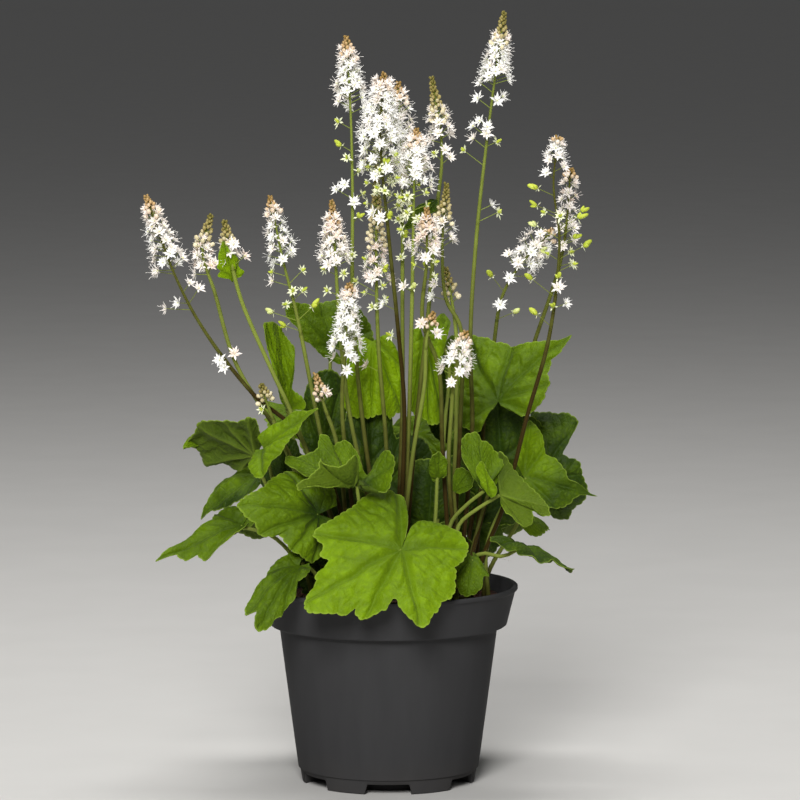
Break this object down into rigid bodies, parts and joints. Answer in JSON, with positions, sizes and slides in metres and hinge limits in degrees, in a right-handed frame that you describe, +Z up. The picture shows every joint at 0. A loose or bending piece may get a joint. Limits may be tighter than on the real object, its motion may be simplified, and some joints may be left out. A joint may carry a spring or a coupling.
{
  "type": "potted foamflower",
  "caption": "Woodland perennial with lobed leaves and upright racemes of small white star flowers, growing in a round tapered nursery pot.",
  "frame": {"origin": "middle of the flat underside of the pot, on the surface it stands on", "axes": "+Z up along the pot's axis, -Y towards the plant's best side, +X to the viewer's right from there"},
  "size_m": [0.228, 0.1895, 0.385],
  "materials": {
    "pot": "moulded matte black polypropylene",
    "soil": "crumbly red-brown peat",
    "leaf": "soft matte leaf with sunken veins and short hairs",
    "stem": "hairy green to red-brown stem",
    "flower": "thin white petals and peach buds"
  },
  "bodies": {
    "root": {"pot": "pot", "soil": "soil", "crown_left": "stem", "crown_middle": "stem", "crown_right": "stem", "leaf_front_large": "leaf", "leaf_front_left_hanging": "leaf", "leaf_left_low": "leaf", "leaf_left_dark": "leaf", "leaf_left_turned": "leaf", "leaf_left_folded": "leaf", "leaf_left_large": "leaf", "leaf_cupped": "leaf", "leaf_upright_folded": "leaf", "leaf_back_left_tall": "leaf", "leaf_centre_hanging": "leaf", "leaf_centre_right": "leaf", "leaf_centre_behind": "leaf", "leaf_right_large": "leaf", "leaf_right_dark": "leaf", "leaf_right_curved": "leaf", "leaf_right_front": "leaf", "leaf_right_low": "leaf", "leaf_right_edge": "leaf", "leaf_centre_small": "leaf", "leaf_middle_dark": "leaf", "leaf_back_left_low": "leaf", "leaf_back_low": "leaf", "leaf_back_right_low": "leaf", "leaf_back_left_high": "leaf", "leaf_back_right_high": "leaf", "raceme_left_outer": "flower", "raceme_left_behind": "flower", "raceme_left_leafy": "flower", "raceme_left_inner": "flower", "raceme_left_budding": "flower", "raceme_left_small": "flower", "raceme_front_low": "flower", "raceme_middle_left": "flower", "raceme_tall_left": "flower", "raceme_tall_middle": "flower", "raceme_tall_behind": "flower", "raceme_middle_bright": "flower", "raceme_middle_small": "flower", "raceme_middle_budding": "flower", "raceme_behind_right": "flower", "raceme_right_olive": "flower", "raceme_front_peach": "flower", "raceme_right_tall": "flower", "raceme_right_outer": "flower", "raceme_right_outer_behind": "flower", "raceme_right_near": "flower", "raceme_right_spreading": "flower", "raceme_right_budding": "flower"}
  },
  "joints": []
}
